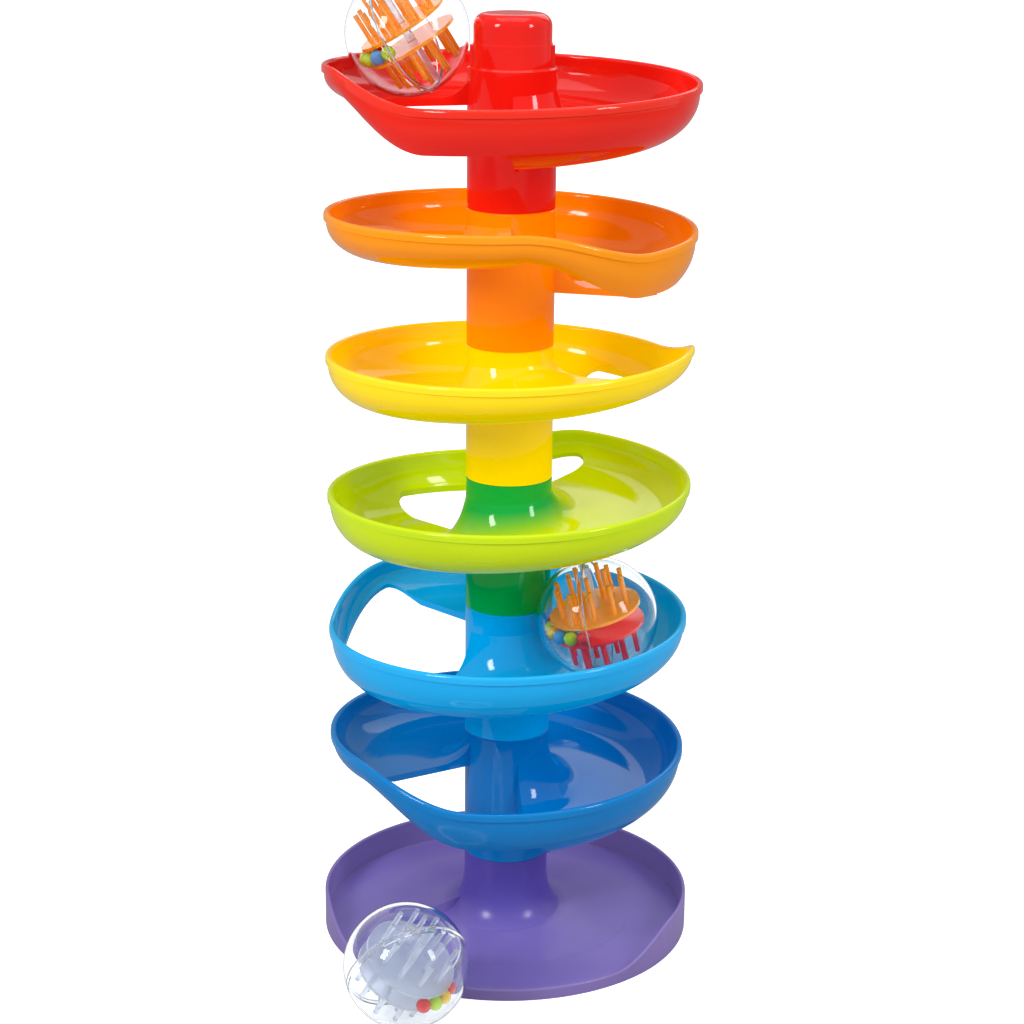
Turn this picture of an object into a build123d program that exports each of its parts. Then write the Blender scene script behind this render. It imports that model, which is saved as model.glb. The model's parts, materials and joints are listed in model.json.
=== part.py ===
from build123d import *
import os
from math import asin, cos, degrees, radians, sin, sqrt

# Ball tower: a base, six identical helical trays stacked on it, and three rattle balls.
# Frame: origin at the centre of the base's underside, +Z up the tower, -Y the open front.

# Stack
tier_pitch = 89.0
base_shoulder_z = 53.0
turn_per_tier = 75.0
red_wave = 220.0
tray_colours = ["blue", "sky", "green", "yellow", "orange", "red"]

# Tube, spigot and key
tube_radius = 28.5
tube_wall = 2.9
spigot_clearance = 0.3
spigot_radius = tube_radius - tube_wall - spigot_clearance
spigot_wall = 2.4
spigot_height = 33.0
spigot_corner = 8.0
tube_bore = tube_radius - tube_wall
spigot_bore = spigot_radius - spigot_wall
spigot_root = 2.0
spigot_lead = 0.4
spigot_tip_radius = spigot_radius - spigot_lead
shoulder_corner = 1.2
key_width = 8.0
key_height = 13.0
key_proud = 1.5
key_embed = 0.6
key_angle = 139.0
key_clearance = 0.4
key_to_lead = 1.0
key_middle = spigot_radius + (key_proud - key_embed) / 2

# Tray bowl, heights measured from the tray's shoulder
tray_radius = 120.0
wall = 2.4
lip_proud = 1.6
lip_height = 5.0
steep_depth = 7.0
floor_outer_radius = 88.0
flare_radius = 52.0
flare_top = -5.0
rim_low = -14.0
rim_high = 2.7
floor_low = -53.0
floor_high = -19.0
wave_half = 21.6
bowl_inner_radius = tube_radius - 1.4

# Opening in the tray, angles from the middle of the rim's wave
opening_from = -25.0
opening_to = 51.0
opening_radius = 111.5
opening_corner = 9.0
edge_lip_depth = 2.5
edge_lip_angle = 1.5

# Base
base_radius = 125.0
base_wall = 2.6
base_rim_z = 25.0
base_low_rim_z = 8.0
base_floor_z = 6.0
base_floor_wall = 3.0
base_front_from = 215.0
base_front_to = 305.0
base_slope_left = 26.0
base_slope_right = 30.0
ramp_angle = 197.0
ramp_high = 13.0
ramp_low = 0.8
ramp_radius = 86.0

# Balls
ball_radius = 40.0
ball_wall = 1.8
ball_hub_gap = 1.5
ball_path_radius = tube_radius + ball_radius + ball_hub_gap
ball_clearance = 0.4
seam_flange_depth = 1.7
seam_flange_width = 3.0
disc_gap = 11.0
disc_edge_gap = 6.5
disc_thickness = 2.0
pin_radius = 1.6
pin_rows = [(22.0, 10), (12.0, 5)]
pin_end_clearance = 0.6
axle_radius = 3.0
axle_end_clearance = 0.2
bead_radius = 4.6
bead_gap = 0.4
bead_wall_clearance = 1.0

# Where each ball lies: the azimuth, the lean of its pole and the beads in its slot, outer row
# first. The first two balls lie on a tray, counted from the base, and the third on the table.
balls = {
    1: (163.0, 6, (-0.53, -0.10, 0.85), ["red", "yellow", "yellow", "lime", "lime", "blue", "lime"],
        ["yellow", "blue", "red"]),
    2: (327.0, 2, (-0.25, -0.08, 0.96), ["blue", "red", "lime", "yellow", "blue", "lime", "red"],
        ["yellow", "lime", "blue"]),
    3: (248.0, None, (0.45, -0.30, 0.84), ["red", "lime", "yellow", "red"], []),
}
table_ball_radius = 166.0
table_gap = 0.3
seam_turn = 62.0


def smooth(t):
    return t * t * (3 - 2 * t)


def rise(angle, low, high):
    """Height at an angle from the wave: a helix that rises, then an S-shaped drop."""
    if angle > 360 - wave_half:
        return high + (low - high) * smooth((angle - 360 + wave_half) / (2 * wave_half))
    return low + (high - low) * (angle - wave_half) / (360 - 2 * wave_half)


def radial_plane(angle):
    """A plane through the tower's axis: local x points outwards and local y points up."""
    out = (cos(radians(angle)), sin(radians(angle)), 0)
    normal = (sin(radians(angle)), -cos(radians(angle)), 0)
    return Plane(origin=(0, 0, 0), x_dir=out, z_dir=normal)


def bowl_section(angle):
    """The tray's wall, floor and hub flare, cut by a plane through the axis."""
    rim = rise(angle, rim_low, rim_high)
    floor = rise(angle, floor_low, floor_high)
    under = floor - wall
    outer = tray_radius - lip_proud
    inner = outer - wall
    knee = rim - steep_depth
    bend_out = 0.55 * (outer - floor_outer_radius)
    bend_in = 0.55 * (inner - floor_outer_radius)
    rim_half = (tray_radius - inner) / 2
    with BuildSketch(radial_plane(angle)) as section:
        with BuildLine():
            Line((bowl_inner_radius, flare_top), (bowl_inner_radius, under))
            Line((bowl_inner_radius, under), (floor_outer_radius, under))
            Bezier(
                (floor_outer_radius, under),
                (floor_outer_radius + bend_out, under),
                (outer, knee - 0.55 * (knee - under)),
                (outer, knee),
            )
            Line((outer, knee), (outer, rim - lip_height - 0.8))
            Line((outer, rim - lip_height - 0.8), (tray_radius, rim - lip_height))
            Line((tray_radius, rim - lip_height), (tray_radius, rim - rim_half))
            ThreePointArc(
                (tray_radius, rim - rim_half),
                (tray_radius - rim_half, rim),
                (inner, rim - rim_half),
            )
            Line((inner, rim - rim_half), (inner, knee))
            Bezier(
                (inner, knee),
                (inner, knee - 0.55 * (knee - floor)),
                (floor_outer_radius + bend_in, floor),
                (floor_outer_radius, floor),
            )
            Line((floor_outer_radius, floor), (flare_radius, floor))
            Bezier(
                (flare_radius, floor),
                (tube_radius + 9, floor),
                (tube_radius + 1, floor + 0.4 * (flare_top - floor)),
                (bowl_inner_radius, flare_top),
            )
        make_face()
    return section.sketch


def edge_lip_section(angle):
    """A short rib under the floor, at one edge of the opening."""
    under = rise(angle, floor_low, floor_high) - wall + 0.4
    top_radius = floor_outer_radius + 8
    with BuildSketch(radial_plane(angle)) as section:
        with BuildLine():
            Polyline(
                (bowl_inner_radius, under),
                (bowl_inner_radius, under - edge_lip_depth),
                (floor_outer_radius - 2, under - edge_lip_depth),
                (top_radius, under),
                close=True,
            )
        make_face()
    return section.sketch


def spread(first, last, count):
    return [first + (last - first) * i / count for i in range(count + 1)]


# One mould makes all six trays. Its shoulder is at z = 0 and its wave is on +X.
with BuildPart() as bowl_form:
    loft([bowl_section(a) for a in spread(wave_half, 360 - wave_half, 24)])
    loft([bowl_section(a) for a in spread(360 - wave_half, 360 + wave_half - 0.001, 10)])
    with BuildSketch(Plane.XY.offset(floor_low - 20)) as opening:
        with BuildLine():
            start = (cos(radians(opening_from)), sin(radians(opening_from)))
            middle_angle = radians((opening_from + opening_to) / 2)
            end = (cos(radians(opening_to)), sin(radians(opening_to)))
            inside = bowl_inner_radius - 3
            Line((inside * start[0], inside * start[1]),
                 (opening_radius * start[0], opening_radius * start[1]))
            ThreePointArc(
                (opening_radius * start[0], opening_radius * start[1]),
                (opening_radius * cos(middle_angle), opening_radius * sin(middle_angle)),
                (opening_radius * end[0], opening_radius * end[1]),
            )
            Line((opening_radius * end[0], opening_radius * end[1]),
                 (inside * end[0], inside * end[1]))
            Line((inside * end[0], inside * end[1]), (inside * start[0], inside * start[1]))
        make_face()
        outer_corners = opening.vertices().sort_by(SortBy.DISTANCE)[-2:]
        fillet(outer_corners, opening_corner)
    extrude(amount=60 - floor_low, mode=Mode.SUBTRACT)
    for first in (opening_to, 360 + opening_from - edge_lip_angle):
        loft([edge_lip_section(first), edge_lip_section(first + edge_lip_angle)], ruled=True)

with BuildPart() as tray_form:
    with BuildSketch(Plane.XZ) as tube_section:
        with BuildLine():
            Polyline(
                (0, spigot_height - spigot_wall),
                (spigot_bore - spigot_corner, spigot_height - spigot_wall),
                (spigot_bore, spigot_height - spigot_wall - spigot_corner),
                (spigot_bore, -spigot_wall),
                (tube_bore, -spigot_wall - spigot_root),
                (tube_bore, -tier_pitch),
                (tube_radius, -tier_pitch),
                (tube_radius, -shoulder_corner),
                (tube_radius - shoulder_corner, 0),
                (spigot_radius, 0),
                (spigot_radius, key_height + key_to_lead),
                (spigot_tip_radius, key_height + 2 * key_to_lead),
                (spigot_tip_radius, spigot_height - spigot_corner),
            )
            RadiusArc((spigot_tip_radius, spigot_height - spigot_corner),
                      (spigot_tip_radius - spigot_corner, spigot_height), -spigot_corner)
            Polyline((spigot_tip_radius - spigot_corner, spigot_height), (0, spigot_height),
                     (0, spigot_height - spigot_wall))
        make_face()
    revolve(axis=Axis.Z)
    with BuildSketch(Plane.XY):
        with PolarLocations(key_middle, 2, start_angle=key_angle):
            Rectangle(key_proud + key_embed, key_width)
    extrude(amount=key_height)
    with BuildSketch(Plane.XY.offset(-tier_pitch)):
        groove_middle = key_middle + key_clearance / 2
        with PolarLocations(groove_middle, 2, start_angle=key_angle + turn_per_tier):
            Rectangle(key_proud + key_embed + key_clearance, key_width + 2 * key_clearance)
    extrude(amount=key_height + key_clearance, mode=Mode.SUBTRACT)
    add(bowl_form.part)


def base_rim(angle):
    """Height of the base's rim: low across the open front, with an S-shaped rise at each side."""
    drop_left = base_front_from - base_slope_left
    if angle <= drop_left:
        return base_rim_z
    if angle < base_front_from:
        share = (angle - drop_left) / base_slope_left
        return base_rim_z + (base_low_rim_z - base_rim_z) * smooth(share)
    if angle <= base_front_to:
        return base_low_rim_z
    share = min(1, (angle - base_front_to) / base_slope_right)
    return base_low_rim_z + (base_rim_z - base_low_rim_z) * smooth(share)


def base_wall_section(angle):
    rim = base_rim(angle)
    half = base_wall / 2
    with BuildSketch(radial_plane(angle)) as section:
        with BuildLine():
            Polyline((base_radius - base_wall, rim - half), (base_radius - base_wall, 0),
                     (base_radius, 0), (base_radius, rim - half))
            ThreePointArc((base_radius, rim - half), (base_radius - half, rim),
                          (base_radius - base_wall, rim - half))
        make_face()
    return section.sketch


def ramp_section(angle):
    """The spiral hump round the base's hub, which leads a ball outwards."""
    share = (angle + 360 - ramp_angle) / 360
    top = base_floor_z + ramp_low + (ramp_high - ramp_low) * share
    with BuildSketch(radial_plane(angle)) as section:
        with BuildLine():
            Polyline((ramp_radius, base_floor_z + 0.1), (ramp_radius, base_floor_z - 1),
                     (bowl_inner_radius, base_floor_z - 1), (bowl_inner_radius, top))
            Bezier((bowl_inner_radius, top), (tube_radius + 18, top - 0.2 * (top - base_floor_z)),
                   (tube_radius + 30, base_floor_z + 0.2), (ramp_radius, base_floor_z + 0.1))
        make_face()
    return section.sketch


base_high_from = base_front_to + base_slope_right - 360
base_high_to = base_front_from - base_slope_left
with BuildPart() as base_ring:
    for first, last, count in (
        (base_high_from, base_high_to, 16),
        (base_high_to, base_front_from, 6),
        (base_front_from, base_front_to, 8),
        (base_front_to, base_high_from + 360, 6),
    ):
        loft([base_wall_section(a) for a in spread(first, last, count)])

with BuildPart() as base_ramp:
    loft([ramp_section(a) for a in spread(ramp_angle - 360, ramp_angle - 0.5, 24)])

with BuildPart() as base:
    with BuildSketch(Plane.XZ):
        with BuildLine():
            top = base_shoulder_z + spigot_height
            plate_radius = base_radius - base_wall / 2
            under = base_floor_z - base_floor_wall
            Polyline((0, top), (0, top - spigot_wall),
                     (spigot_bore - spigot_corner, top - spigot_wall),
                     (spigot_bore, top - spigot_wall - spigot_corner),
                     (spigot_bore, base_shoulder_z - spigot_wall),
                     (tube_bore, base_shoulder_z - spigot_wall - spigot_root),
                     (tube_bore, base_shoulder_z - 14))
            Bezier((tube_bore, base_shoulder_z - 14), (tube_bore, under + 12), (tube_bore + 8, under),
                   (flare_radius - 3, under))
            Polyline((flare_radius - 3, under), (plate_radius, under),
                     (plate_radius, base_floor_z), (flare_radius, base_floor_z))
            Bezier((flare_radius, base_floor_z), (tube_radius + 8, base_floor_z),
                   (tube_radius, base_floor_z + 12), (tube_radius, base_shoulder_z - 14))
            Polyline((tube_radius, base_shoulder_z - 14), (tube_radius, base_shoulder_z - shoulder_corner),
                     (tube_radius - shoulder_corner, base_shoulder_z),
                     (spigot_radius, base_shoulder_z),
                     (spigot_radius, base_shoulder_z + key_height + key_to_lead),
                     (spigot_tip_radius, base_shoulder_z + key_height + 2 * key_to_lead),
                     (spigot_tip_radius, top - spigot_corner))
            RadiusArc((spigot_tip_radius, top - spigot_corner),
                      (spigot_tip_radius - spigot_corner, top), -spigot_corner)
            Line((spigot_tip_radius - spigot_corner, top), (0, top))
        make_face()
    revolve(axis=Axis.Z)
    with BuildSketch(Plane.XY.offset(base_shoulder_z)):
        base_key_angle = red_wave + turn_per_tier * len(tray_colours) + key_angle
        with PolarLocations(key_middle, 2, start_angle=base_key_angle):
            Rectangle(key_proud + key_embed, key_width)
    extrude(amount=key_height)
    add(base_ring.part)
    add(base_ramp.part)
base.part.label = "base"

ball_bore = ball_radius - ball_wall
ball_clear_bore = ball_bore - seam_flange_depth
bead_circle = ball_clear_bore - bead_wall_clearance - bead_radius
disc_radius = ball_clear_bore - disc_edge_gap
disc_inner_z = disc_gap / 2
disc_outer_z = disc_inner_z + disc_thickness

# One ball, with its pole on Z and its low side on +X.
with BuildPart() as front_shell_form:
    Sphere(ball_radius)
    Sphere(ball_bore, mode=Mode.SUBTRACT)
    split(bisect_by=Plane.XZ)
    with BuildSketch(Plane.XZ):
        Circle(ball_bore + 0.3)
        Circle(ball_clear_bore, mode=Mode.SUBTRACT)
    extrude(amount=seam_flange_width)

with BuildPart() as rear_shell_form:
    Sphere(ball_radius)
    Sphere(ball_bore, mode=Mode.SUBTRACT)
    split(bisect_by=Plane.XZ, keep=Keep.BOTTOM)

with BuildPart() as disc_form:
    with BuildSketch(Plane.XY.offset(disc_inner_z)):
        Circle(disc_radius)
        Circle(axle_radius, mode=Mode.SUBTRACT)
    extrude(amount=disc_thickness)
    for circle_radius, pin_count in pin_rows:
        reach = sqrt(ball_clear_bore**2 - (circle_radius + pin_radius) ** 2) - pin_end_clearance
        with BuildSketch(Plane.XY.offset(disc_outer_z - 0.5)):
            with PolarLocations(circle_radius, pin_count):
                Circle(pin_radius)
        extrude(amount=reach - disc_outer_z + 0.5)

with BuildPart() as axle_form:
    Cylinder(axle_radius, 2 * (ball_clear_bore - axle_end_clearance))


def tray_wave(tier):
    return red_wave + turn_per_tier * (len(tray_colours) - tier)


def ball_centre(azimuth, tier):
    """A ball's centre: on a tray's floor or on the table."""
    if tier is None:
        return Vector(table_ball_radius * cos(radians(azimuth)),
                      table_ball_radius * sin(radians(azimuth)), ball_radius + table_gap)
    climb = (floor_high - floor_low) / radians(360 - 2 * wave_half) / ball_path_radius
    floor = rise((azimuth - tray_wave(tier)) % 360, floor_low, floor_high)
    height = base_shoulder_z + tier * tier_pitch + floor
    height += ball_radius * sqrt(1 + climb**2) + ball_clearance
    return Vector(ball_path_radius * cos(radians(azimuth)),
                  ball_path_radius * sin(radians(azimuth)), height)


def bead_row(row_radius, colours):
    """The places of one row of beads, fanned out about the ball's low side."""
    step = 2 * degrees(asin((bead_radius + bead_gap / 2) / row_radius))
    first = -step * (len(colours) - 1) / 2
    return [(row_radius, first + step * i, colour) for i, colour in enumerate(colours)]


def write(piece, label):
    piece.label = label
    export_step(piece, f"parts/{label}.step")
    print(label, round(piece.volume), len(piece.solids()), piece.is_valid)


os.makedirs("parts", exist_ok=True)
write(base.part, "base")

for tier, colour in enumerate(tray_colours, start=1):
    with BuildPart() as tray:
        with Locations(Location((0, 0, base_shoulder_z + tier * tier_pitch), (0, 0, tray_wave(tier)))):
            add(tray_form.part)
    write(tray.part, f"tray_{colour}")

for number, (azimuth, tier, pole, outer_beads, inner_beads) in balls.items():
    centre = ball_centre(azimuth, tier)
    up = Vector(*pole).normalized()
    low_side = up * up.Z - Vector(0, 0, 1)
    place = Plane(origin=centre, x_dir=low_side, z_dir=up)
    turned_x = low_side.rotate(Axis((0, 0, 0), up), seam_turn)
    turned = Plane(origin=centre, x_dir=turned_x, z_dir=up).location
    for label, form in (("front_shell", front_shell_form), ("rear_shell", rear_shell_form)):
        with BuildPart() as shell:
            with Locations(turned):
                add(form.part)
        write(shell.part, f"ball_{number}_{label}")
    with BuildPart() as upper_disc:
        with Locations(place.location):
            add(disc_form.part)
    write(upper_disc.part, f"ball_{number}_upper_disc")
    with BuildPart() as lower_disc:
        with Locations(Plane(origin=centre, x_dir=low_side, z_dir=-up).location):
            add(disc_form.part)
    write(lower_disc.part, f"ball_{number}_lower_disc")
    with BuildPart() as axle:
        with Locations(place.location):
            add(axle_form.part)
    write(axle.part, f"ball_{number}_axle")
    rows = bead_row(bead_circle, outer_beads)
    rows += bead_row(bead_circle - 2 * bead_radius - bead_gap, inner_beads)
    for colour in sorted(set(outer_beads + inner_beads)):
        spots = [(r * cos(radians(a)), r * sin(radians(a))) for r, a, c in rows if c == colour]
        with BuildPart() as beads:
            with Locations(place.location):
                with Locations(*spots):
                    Sphere(bead_radius)
        write(beads.part, f"ball_{number}_beads_{colour}")

# Each ball on a tray rolls about an axis that leans with the ramp. Its two ends fit the helix.
roll_angle = 73.0
for number in (1, 2):
    azimuth, tier = balls[number][:2]
    half = radians(roll_angle / 2)
    climb = (floor_high - floor_low) / radians(360 - 2 * wave_half) / ball_path_radius
    lean = climb * half / sin(half)
    middle = radians(azimuth - roll_angle / 2)
    axis = Vector(sin(middle) * lean, -cos(middle) * lean, 1).normalized()
    pivot_z = ball_centre(azimuth, tier).Z - ball_path_radius * sin(half) * lean
    print(f"ball_{number} rolls about", tuple(axis), "through z", round(pivot_z, 3))
for number, (azimuth, tier, pole, *rest) in balls.items():
    print(f"ball_{number} centre", tuple(ball_centre(azimuth, tier)), "pole", tuple(Vector(*pole).normalized()))
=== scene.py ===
import bpy
import bmesh
import json
from math import cos, pi, radians, sin
from mathutils import Matrix, Vector


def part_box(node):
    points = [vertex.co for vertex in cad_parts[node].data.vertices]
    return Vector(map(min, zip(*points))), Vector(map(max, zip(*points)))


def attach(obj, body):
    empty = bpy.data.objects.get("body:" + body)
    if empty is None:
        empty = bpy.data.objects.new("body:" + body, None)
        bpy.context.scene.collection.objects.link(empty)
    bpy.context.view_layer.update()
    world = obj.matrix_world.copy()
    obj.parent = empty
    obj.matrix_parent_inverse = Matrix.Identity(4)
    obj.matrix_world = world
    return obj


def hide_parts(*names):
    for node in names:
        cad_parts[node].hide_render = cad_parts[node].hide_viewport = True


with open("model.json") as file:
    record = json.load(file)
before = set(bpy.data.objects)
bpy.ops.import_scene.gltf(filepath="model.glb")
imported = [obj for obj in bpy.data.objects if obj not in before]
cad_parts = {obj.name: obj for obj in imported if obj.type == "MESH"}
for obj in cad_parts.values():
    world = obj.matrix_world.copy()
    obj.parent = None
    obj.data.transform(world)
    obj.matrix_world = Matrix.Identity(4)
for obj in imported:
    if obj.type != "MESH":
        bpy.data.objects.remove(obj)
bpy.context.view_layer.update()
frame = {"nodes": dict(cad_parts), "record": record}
record = frame["record"]
nodeSlot = {entry["node"]: entry["material_slot"] for entry in record["subparts"]}
print("frame loaded:", len(frame["nodes"]), "nodes")

# camera: metres and degrees, a long lens in front of the tower that looks down a little
view = {
    "place": (0.0, -1.5131, 0.7505),
    "down": 16.785,
    "aside": 0.086,
    "roll": 0.5255,
    "lens": 83.67,
    "sensor": 36.0,
}


def addCamera():
    data = bpy.data.cameras.new("productCamera")
    data.lens = view["lens"]
    data.sensor_width = view["sensor"]
    camera = bpy.data.objects.new("productCamera", data)
    bpy.context.collection.objects.link(camera)
    turn = Matrix.Rotation(radians(-view["aside"]), 4, "Z")
    tip = Matrix.Rotation(radians(90 - view["down"]), 4, "X")
    roll = Matrix.Rotation(radians(view["roll"]), 4, "Z")
    camera.matrix_world = Matrix.Translation(view["place"]) @ turn @ tip @ roll
    bpy.context.scene.camera = camera


addCamera()

# studio: a pale sweep, a softbox at each side in front, one overhead and one behind
studio = {
    "sweepFront": -2.6,
    "sweepBack": 2.2,
    "sweepWidth": 7.0,
    "sweepHeight": 3.2,
    "sweepBend": 0.9,
    "sweepSteps": 16,
    "paperRoughness": 0.85,
    "paper": (0.93, 0.93, 0.93, 1),
    "paperInBounces": (0.42, 0.42, 0.42, 1),
    "air": (1.0, 1.0, 1.0, 1),
    "airStrength": 0.55,
    "paperGlow": 0.62,
    "softboxes": [
        {"name": "leftBox", "place": (-1.25, -1.15, 1.25), "size": (0.38, 0.62), "power": 17},
        {"name": "rightBox", "place": (1.45, -0.95, 1.15), "size": (0.34, 0.62), "power": 11},
        {"name": "topBox", "place": (0.0, -0.15, 2.0), "size": (1.5, 1.1), "power": 9},
        {"name": "backBox", "place": (0.4, 1.6, 1.5), "size": (1.6, 0.9), "power": 5},
    ],
    "aim": (0.0, 0.0, 0.33),
}


def addSweep():
    bend = studio["sweepBend"]
    steps = studio["sweepSteps"]
    outline = [(studio["sweepFront"], 0.0), (studio["sweepBack"] - bend, 0.0)]
    for i in range(1, steps + 1):
        a = pi / 2 * i / steps
        outline.append((studio["sweepBack"] - bend + bend * sin(a), bend - bend * cos(a)))
    outline.append((studio["sweepBack"], studio["sweepHeight"]))
    half = studio["sweepWidth"] / 2
    verts = [(x, y, z) for y, z in outline for x in (-half, half)]
    faces = [(2 * i, 2 * i + 1, 2 * i + 3, 2 * i + 2) for i in range(len(outline) - 1)]
    mesh = bpy.data.meshes.new("sweep")
    mesh.from_pydata(verts, [], faces)
    for face in mesh.polygons:
        face.use_smooth = True
    sweep = bpy.data.objects.new("sweep", mesh)
    bpy.context.collection.objects.link(sweep)
    paper = bpy.data.materials.new("paper")
    paper.use_nodes = True
    nodes, links = paper.node_tree.nodes, paper.node_tree.links
    shader = nodes["Principled BSDF"]
    shader.inputs["Base Color"].default_value = studio["paper"]
    shader.inputs["Roughness"].default_value = studio["paperRoughness"]
    shader.inputs["Emission Color"].default_value = studio["air"]
    shader.inputs["Emission Strength"].default_value = studio["paperGlow"]
    # the sweep looks white to the camera and through the clear balls, and lights the toy less
    grey = nodes.new("ShaderNodeBsdfDiffuse")
    grey.inputs["Color"].default_value = studio["paperInBounces"]
    path = nodes.new("ShaderNodeLightPath")
    seen = nodes.new("ShaderNodeMath")
    seen.operation = "MAXIMUM"
    links.new(path.outputs["Is Camera Ray"], seen.inputs[0])
    links.new(path.outputs["Is Transmission Ray"], seen.inputs[1])
    choice = nodes.new("ShaderNodeMixShader")
    links.new(seen.outputs["Value"], choice.inputs[0])
    links.new(grey.outputs["BSDF"], choice.inputs[1])
    links.new(shader.outputs["BSDF"], choice.inputs[2])
    links.new(choice.outputs["Shader"], nodes["Material Output"].inputs["Surface"])
    mesh.materials.append(paper)


def addLights():
    world = bpy.data.worlds.new("studioAir")
    world.use_nodes = True
    background = world.node_tree.nodes["Background"]
    background.inputs["Color"].default_value = studio["air"]
    background.inputs["Strength"].default_value = studio["airStrength"]
    bpy.context.scene.world = world
    for box in studio["softboxes"]:
        data = bpy.data.lights.new(box["name"], "AREA")
        data.shape = "RECTANGLE"
        data.size, data.size_y = box["size"]
        data.energy = box["power"]
        light = bpy.data.objects.new(box["name"], data)
        bpy.context.collection.objects.link(light)
        light.location = box["place"]
        aim = Vector(studio["aim"]) - Vector(box["place"])
        light.rotation_euler = aim.to_track_quat("-Z", "Y").to_euler()
    bpy.context.scene.view_settings.view_transform = "Standard"
    bpy.context.scene.view_settings.look = "None"


addSweep()
addLights()
print("studio ready")


# what every moulded plastic shares: slow colour drift, fine dimples and faint handling marks
moulded = {
    "driftScale": 9.0,
    "driftDetail": 2.0,
    "driftFrom": 0.35,
    "driftTo": 0.65,
    "marksScale": 60.0,
    "marksDetail": 6.0,
    "marksTwist": 0.6,
    "dimpleScale": 900.0,
    "dimpleDepth": 0.0002,
}


def makeMouldedGroup():
    group = bpy.data.node_groups.new("mouldedSkin", "ShaderNodeTree")
    face = group.interface
    face.new_socket("Colour", in_out="INPUT", socket_type="NodeSocketColor")
    for name in ("Drift", "Roughness", "Marks", "Dimples"):
        face.new_socket(name, in_out="INPUT", socket_type="NodeSocketFloat")
    face.new_socket("Colour", in_out="OUTPUT", socket_type="NodeSocketColor")
    face.new_socket("Roughness", in_out="OUTPUT", socket_type="NodeSocketFloat")
    face.new_socket("Normal", in_out="OUTPUT", socket_type="NodeSocketVector")
    nodes, links = group.nodes, group.links
    start = nodes.new("NodeGroupInput")
    end = nodes.new("NodeGroupOutput")
    place = nodes.new("ShaderNodeTexCoord")

    flow = nodes.new("ShaderNodeTexNoise")
    flow.inputs["Scale"].default_value = moulded["driftScale"]
    flow.inputs["Detail"].default_value = moulded["driftDetail"]
    links.new(place.outputs["Object"], flow.inputs["Vector"])
    swing = nodes.new("ShaderNodeMapRange")
    swing.inputs["From Min"].default_value = moulded["driftFrom"]
    swing.inputs["From Max"].default_value = moulded["driftTo"]
    swing.inputs["To Min"].default_value = -1.0
    links.new(flow.outputs["Fac"], swing.inputs["Value"])
    amount = nodes.new("ShaderNodeMath")
    amount.operation = "MULTIPLY_ADD"
    amount.inputs[2].default_value = 1.0
    links.new(swing.outputs["Result"], amount.inputs[0])
    links.new(start.outputs["Drift"], amount.inputs[1])
    tint = nodes.new("ShaderNodeHueSaturation")
    links.new(start.outputs["Colour"], tint.inputs["Color"])
    links.new(amount.outputs["Value"], tint.inputs["Value"])
    links.new(tint.outputs["Color"], end.inputs["Colour"])

    wipe = nodes.new("ShaderNodeTexNoise")
    wipe.inputs["Scale"].default_value = moulded["marksScale"]
    wipe.inputs["Detail"].default_value = moulded["marksDetail"]
    wipe.inputs["Distortion"].default_value = moulded["marksTwist"]
    links.new(place.outputs["Object"], wipe.inputs["Vector"])
    smear = nodes.new("ShaderNodeMath")
    smear.operation = "MULTIPLY_ADD"
    links.new(wipe.outputs["Fac"], smear.inputs[0])
    links.new(start.outputs["Marks"], smear.inputs[1])
    links.new(start.outputs["Roughness"], smear.inputs[2])
    links.new(smear.outputs["Value"], end.inputs["Roughness"])

    grain = nodes.new("ShaderNodeTexNoise")
    grain.inputs["Scale"].default_value = moulded["dimpleScale"]
    links.new(place.outputs["Object"], grain.inputs["Vector"])
    bump = nodes.new("ShaderNodeBump")
    bump.inputs["Distance"].default_value = moulded["dimpleDepth"]
    links.new(grain.outputs["Fac"], bump.inputs["Height"])
    links.new(start.outputs["Dimples"], bump.inputs["Strength"])
    links.new(bump.outputs["Normal"], end.inputs["Normal"])
    return group


mouldedGroup = makeMouldedGroup()

# tray colours: darker at the column as painted shade under the bowl, the plain colour on the
# bowl, and lighter on the thin rim as a painted highlight of light coming through
trayLooks = {
    "tray_red": {
        "shadedColumn": (0.7, 0.008, 0.004),
        "bowl": (0.76, 0.01, 0.004),
        "rim": (0.8, 0.03, 0.012),
    },
    "tray_orange": {
        "shadedColumn": (0.92, 0.25, 0.0),
        "bowl": (0.92, 0.27, 0.0),
        "rim": (0.94, 0.32, 0.01),
    },
    "tray_yellow": {
        "shadedColumn": (1.0, 0.66, 0.0),
        "bowl": (1.0, 0.7, 0.0),
        "rim": (1.0, 0.74, 0.02),
    },
    "tray_green": {
        "shadedColumn": (0.0, 0.36, 0.05),
        "bowl": (0.58, 0.74, 0.0),
        "rim": (0.52, 0.72, 0.01),
    },
    "tray_sky": {
        "shadedColumn": (0.0, 0.37, 0.8),
        "bowl": (0.0, 0.38, 0.82),
        "rim": (0.02, 0.42, 0.84),
    },
    "tray_blue": {
        "shadedColumn": (0.0, 0.16, 0.48),
        "bowl": (0.0, 0.17, 0.5),
        "rim": (0.0, 0.2, 0.54),
    },
    "base": {
        "shadedColumn": (0.085, 0.06, 0.34),
        "bowl": (0.19, 0.14, 0.44),
        "rim": (0.22, 0.16, 0.42),
    },
}
trayFinish = {
    "columnRadius": 0.030,
    "bowlRadius": 0.044,
    "shoulder": 0.1165,
    "rimRadius": 0.1215,
    "specular": 0.30,
    "coat": 0.06,
    "coatRoughness": 0.04,
    "ior": 1.5,
    # painted glow: emission that lifts the trays' shade
    "paintedGlow": 0.16,
}
glossySkin = {"drift": 0.03, "roughness": 0.05, "marks": 0.05, "dimples": 0.02}
milkySkin = {"drift": 0.10, "roughness": 0.27, "marks": 0.0, "dimples": 0.0}


def newMaterial(name):
    material = bpy.data.materials.new(name)
    material.use_nodes = True
    nodes = material.node_tree.nodes
    return material, nodes, material.node_tree.links, nodes["Principled BSDF"]


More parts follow.
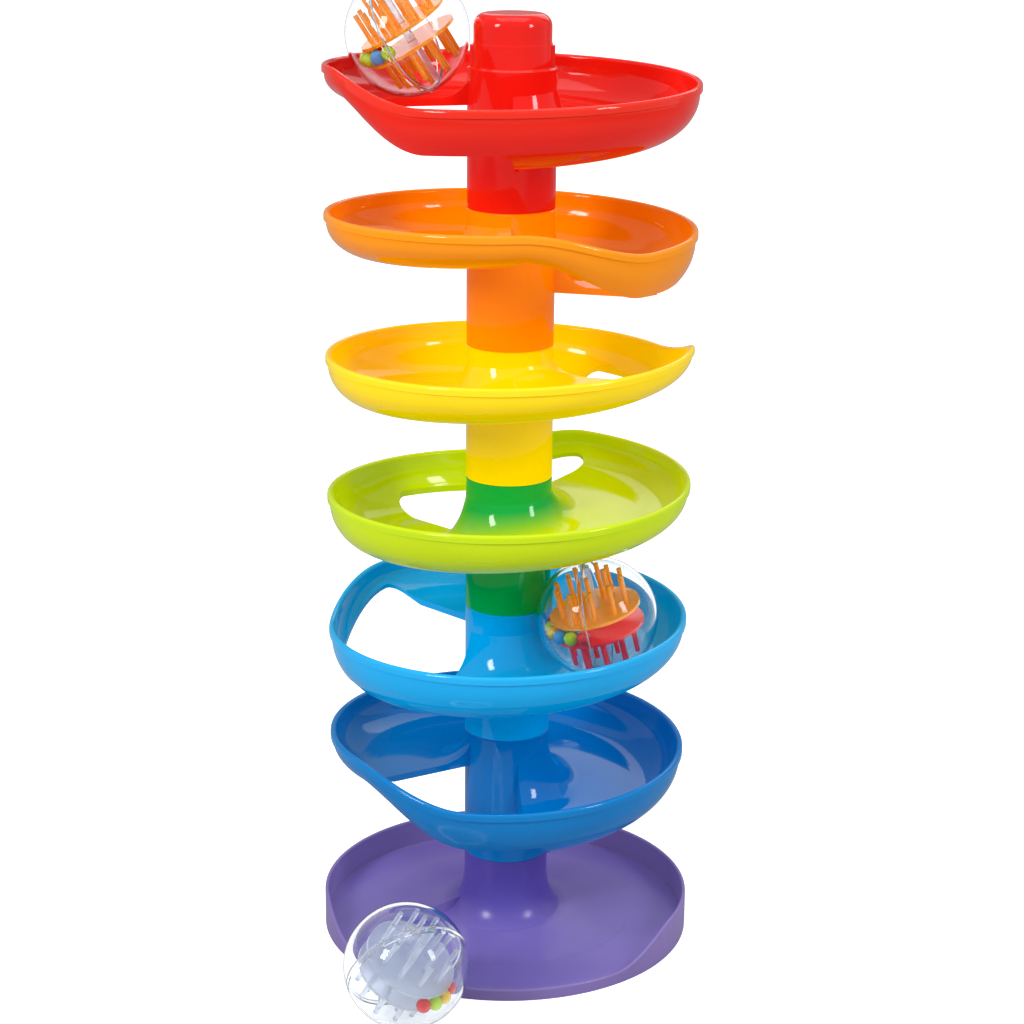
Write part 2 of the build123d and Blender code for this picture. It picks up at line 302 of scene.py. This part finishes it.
def placeSkin(nodes, links, shader, finish):
    skin = nodes.new("ShaderNodeGroup")
    skin.node_tree = mouldedGroup
    skin.inputs["Drift"].default_value = finish["drift"]
    skin.inputs["Roughness"].default_value = finish["roughness"]
    skin.inputs["Marks"].default_value = finish["marks"]
    skin.inputs["Dimples"].default_value = finish["dimples"]
    links.new(skin.outputs["Colour"], shader.inputs["Base Color"])
    links.new(skin.outputs["Roughness"], shader.inputs["Roughness"])
    links.new(skin.outputs["Normal"], shader.inputs["Normal"])
    return skin


def trayMaterial(name):
    look = trayLooks[name]
    material, nodes, links, shader = newMaterial(name + "Plastic")
    place = nodes.new("ShaderNodeTexCoord")
    flat = nodes.new("ShaderNodeVectorMath")
    flat.operation = "MULTIPLY"
    flat.inputs[1].default_value = (1, 1, 0)
    links.new(place.outputs["Object"], flat.inputs[0])
    reach = nodes.new("ShaderNodeVectorMath")
    reach.operation = "LENGTH"
    links.new(flat.outputs["Vector"], reach.inputs[0])
    share = nodes.new("ShaderNodeMath")
    share.operation = "DIVIDE"
    share.inputs[1].default_value = trayFinish["rimRadius"]
    links.new(reach.outputs["Value"], share.inputs[0])
    # painted light by radius: darker at the column as painted shade, lighter at the rim as a
    # painted highlight
    ramp = nodes.new("ShaderNodeValToRGB")
    stops = ramp.color_ramp.elements
    stops[0].position = trayFinish["columnRadius"] / trayFinish["rimRadius"]
    stops[0].color = (*look["shadedColumn"], 1)
    stops[1].position = 1.0
    stops[1].color = (*look["rim"], 1)
    for key in ("bowlRadius", "shoulder"):
        stop = stops.new(trayFinish[key] / trayFinish["rimRadius"])
        stop.color = (*look["bowl"], 1)
    links.new(share.outputs["Value"], ramp.inputs["Fac"])
    skin = placeSkin(nodes, links, shader, milkySkin if name == "base" else glossySkin)
    links.new(ramp.outputs["Color"], skin.inputs["Colour"])
    shader.inputs["IOR"].default_value = trayFinish["ior"]
    shader.inputs["Specular IOR Level"].default_value = trayFinish["specular"]
    shader.inputs["Coat Weight"].default_value = trayFinish["coat"]
    shader.inputs["Coat Roughness"].default_value = trayFinish["coatRoughness"]
    # painted light: the plastic's colour is also emitted as a glow that lifts its shade,
    # standing in for light passing through the thin plastic, so it is never dark inside
    links.new(skin.outputs["Colour"], shader.inputs["Emission Color"])
    shader.inputs["Emission Strength"].default_value = trayFinish["paintedGlow"]
    return material


clearLook = {
    "tint": (0.96, 0.98, 1.0, 1),
    "ior": 1.30,
    "smoothest": 0.015,
    "dullest": 0.03,
    "wipeScale": 70.0,
    "wipeDetail": 5.0,
}


def clearMaterial():
    material, nodes, links, shader = newMaterial("clearShell")
    shader.inputs["Base Color"].default_value = clearLook["tint"]
    shader.inputs["IOR"].default_value = clearLook["ior"]
    shader.inputs["Transmission Weight"].default_value = 1.0
    place = nodes.new("ShaderNodeTexCoord")
    wipe = nodes.new("ShaderNodeTexNoise")
    wipe.inputs["Scale"].default_value = clearLook["wipeScale"]
    wipe.inputs["Detail"].default_value = clearLook["wipeDetail"]
    links.new(place.outputs["Object"], wipe.inputs["Vector"])
    rough = nodes.new("ShaderNodeMapRange")
    rough.inputs["To Min"].default_value = clearLook["smoothest"]
    rough.inputs["To Max"].default_value = clearLook["dullest"]
    links.new(wipe.outputs["Fac"], rough.inputs["Value"])
    links.new(rough.outputs["Result"], shader.inputs["Roughness"])
    return material


discSkin = {"drift": 0.05, "roughness": 0.12, "marks": 0.08, "dimples": 0.02}
discIor = 1.45
discLooks = {
    "disc_orange": {"colour": (1.0, 0.36, 0.01, 1), "through": 0.12, "paintedGlow": 0.10},
    "disc_red": {"colour": (0.95, 0.04, 0.05, 1), "through": 0.12, "paintedGlow": 0.10},
    "disc_clear": {"colour": (0.86, 0.90, 1.0, 1), "through": 0.70, "paintedGlow": 0.03},
}


def discMaterial(name):
    look = discLooks[name]
    material, nodes, links, shader = newMaterial(name + "Plastic")
    skin = placeSkin(nodes, links, shader, discSkin)
    skin.inputs["Colour"].default_value = look["colour"]
    shader.inputs["IOR"].default_value = discIor
    shader.inputs["Transmission Weight"].default_value = look["through"]
    # painted light: the disc's colour is also emitted as a glow that lifts its shade
    shader.inputs["Emission Color"].default_value = look["colour"]
    shader.inputs["Emission Strength"].default_value = look["paintedGlow"]
    return material


beadSkin = {"drift": 0.06, "roughness": 0.18, "marks": 0.10, "dimples": 0.04}
beadCoat = 0.3
beadLooks = {
    "bead_blue": (0.06, 0.38, 0.85, 1),
    "bead_lime": (0.52, 0.80, 0.02, 1),
    "bead_red": (0.80, 0.02, 0.02, 1),
    "bead_yellow": (1.0, 0.62, 0.0, 1),
}


def beadMaterial(name):
    material, nodes, links, shader = newMaterial(name + "Plastic")
    skin = placeSkin(nodes, links, shader, beadSkin)
    skin.inputs["Colour"].default_value = beadLooks[name]
    shader.inputs["Coat Weight"].default_value = beadCoat
    return material


seamLook = {"colour": (0.90, 0.94, 1.0, 1), "through": 0.5}
seamSkin = {"drift": 0.03, "roughness": 0.25, "marks": 0.10, "dimples": 0.05}


def seamMaterial():
    material, nodes, links, shader = newMaterial("weldedSeam")
    skin = placeSkin(nodes, links, shader, seamSkin)
    skin.inputs["Colour"].default_value = seamLook["colour"]
    shader.inputs["Transmission Weight"].default_value = seamLook["through"]
    return material


def makeMaterials():
    made = {"clear": clearMaterial(), "seam": seamMaterial()}
    for name in trayLooks:
        made[name] = trayMaterial(name)
    for name in discLooks:
        made[name] = discMaterial(name)
    for name in beadLooks:
        made[name] = beadMaterial(name)
    return made


materials = makeMaterials()
for name, node in frame["nodes"].items():
    material = materials[nodeSlot[name]]
    for slot in node.material_slots:
        slot.material = material
print("materials made:", len(materials))

# round parts of the rattle balls: metres, sizes taken from the CAD pieces they stand for
ballParts = {
    "rings": 24,
    "segments": 48,
    "seamRadius": 0.0389,
    "seamThick": 0.0005,
    "seamSteps": 180,
    "seamSides": 8,
    "weld": 1e-6,
    "balls": ("ball_1", "ball_2", "ball_3"),
}


def islands(node):
    # centres and radii of a CAD node's separate round solids
    copy = bmesh.new()
    copy.from_mesh(node.data)
    bmesh.ops.remove_doubles(copy, verts=copy.verts, dist=ballParts["weld"])
    left = set(copy.verts)
    found = []
    while left:
        group, queue = set(), [left.pop()]
        while queue:
            vert = queue.pop()
            group.add(vert)
            for edge in vert.link_edges:
                other = edge.other_vert(vert)
                if other in left:
                    left.discard(other)
                    queue.append(other)
        low = Vector([min(v.co[i] for v in group) for i in range(3)])
        high = Vector([max(v.co[i] for v in group) for i in range(3)])
        found.append(((low + high) / 2, (high - low).x / 2))
    copy.free()
    return sorted(found, key=lambda item: tuple(round(c, 5) for c in item[0]))


def makeBeadTree():
    # a smooth bead on every point of the mesh that carries the modifier
    tree = bpy.data.node_groups.new("beadsOnPoints", "GeometryNodeTree")
    face = tree.interface
    face.new_socket("Geometry", in_out="INPUT", socket_type="NodeSocketGeometry")
    face.new_socket("Radius", in_out="INPUT", socket_type="NodeSocketFloat")
    face.new_socket("Material", in_out="INPUT", socket_type="NodeSocketMaterial")
    face.new_socket("Geometry", in_out="OUTPUT", socket_type="NodeSocketGeometry")
    nodes, links = tree.nodes, tree.links
    start = nodes.new("NodeGroupInput")
    end = nodes.new("NodeGroupOutput")
    points = nodes.new("GeometryNodeMeshToPoints")
    bead = nodes.new("GeometryNodeMeshUVSphere")
    bead.inputs["Segments"].default_value = ballParts["segments"]
    bead.inputs["Rings"].default_value = ballParts["rings"]
    put = nodes.new("GeometryNodeInstanceOnPoints")
    whole = nodes.new("GeometryNodeRealizeInstances")
    smooth = nodes.new("GeometryNodeSetShadeSmooth")
    paint = nodes.new("GeometryNodeSetMaterial")
    links.new(start.outputs["Geometry"], points.inputs["Mesh"])
    links.new(start.outputs["Radius"], bead.inputs["Radius"])
    links.new(points.outputs["Points"], put.inputs["Points"])
    links.new(bead.outputs["Mesh"], put.inputs["Instance"])
    links.new(put.outputs["Instances"], whole.inputs["Geometry"])
    links.new(whole.outputs["Geometry"], smooth.inputs["Geometry"])
    links.new(smooth.outputs["Geometry"], paint.inputs["Geometry"])
    links.new(start.outputs["Material"], paint.inputs["Material"])
    links.new(paint.outputs["Geometry"], end.inputs["Geometry"])
    return tree


def socketId(tree, name):
    for item in tree.interface.items_tree:
        if item.name == name and item.in_out == "INPUT":
            return item.identifier


def plainMesh(carrier, name):
    # the modifier's result as a mesh of its own; the carrier is dropped
    bpy.context.view_layer.update()
    graph = bpy.context.evaluated_depsgraph_get()
    mesh = bpy.data.meshes.new_from_object(carrier.evaluated_get(graph))
    mesh.name = name
    bpy.data.objects.remove(carrier)
    piece = bpy.data.objects.new(name, mesh)
    bpy.context.collection.objects.link(piece)
    return piece


def addBeads(tree):
    count = 0
    for name, node in sorted(frame["nodes"].items()):
        if "_beads_" not in name:
            continue
        found = islands(node)
        points = bpy.data.meshes.new(name + "_points")
        points.from_pydata([centre for centre, radius in found], [], [])
        carrier = bpy.data.objects.new(name + "_carrier", points)
        bpy.context.collection.objects.link(carrier)
        modifier = carrier.modifiers.new("beads", "NODES")
        modifier.node_group = tree
        modifier[socketId(tree, "Radius")] = max(radius for centre, radius in found)
        modifier[socketId(tree, "Material")] = materials[nodeSlot[name]]
        piece = plainMesh(carrier, name + "_round")
        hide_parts(name)
        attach(piece, name.split("_beads_")[0] + "_beads")
        count += len(found)
    print("beads made:", count)


def addSeam(ball):
    # the line where a ball's two halves meet, as a fine ring inside the wall
    shells = [frame["nodes"][ball + "_front_shell"], frame["nodes"][ball + "_rear_shell"]]
    corners = [Vector(c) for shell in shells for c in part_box(shell.name)]
    low = Vector([min(c[i] for c in corners) for i in range(3)])
    high = Vector([max(c[i] for c in corners) for i in range(3)])
    centre = (low + high) / 2
    mean = sum((v.co for v in shells[0].data.vertices), Vector()) / len(shells[0].data.vertices)
    turn = (mean - centre).to_track_quat("Z", "Y").to_matrix()
    mesh = bpy.data.meshes.new(ball + "_seam")
    ring = bmesh.new()
    steps, sides = ballParts["seamSteps"], ballParts["seamSides"]
    loops = []
    for i in range(steps):
        a = 2 * pi * i / steps
        loop = []
        for j in range(sides):
            b = 2 * pi * j / sides
            reach = ballParts["seamRadius"] + ballParts["seamThick"] * cos(b)
            spot = Vector((reach * cos(a), reach * sin(a), ballParts["seamThick"] * sin(b)))
            loop.append(ring.verts.new(centre + turn @ spot))
        loops.append(loop)
    for i in range(steps):
        here, there = loops[i], loops[(i + 1) % steps]
        for j in range(sides):
            k = (j + 1) % sides
            ring.faces.new((here[j], there[j], there[k], here[k]))
    bmesh.ops.recalc_face_normals(ring, faces=ring.faces)
    ring.to_mesh(mesh)
    ring.free()
    for face in mesh.polygons:
        face.use_smooth = True
    mesh.materials.append(materials["seam"])
    seam = bpy.data.objects.new(ball + "_seam", mesh)
    bpy.context.collection.objects.link(seam)
    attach(seam, ball)


addBeads(makeBeadTree())
for ball in ballParts["balls"]:
    addSeam(ball)
print("seams made:", len(ballParts["balls"]))
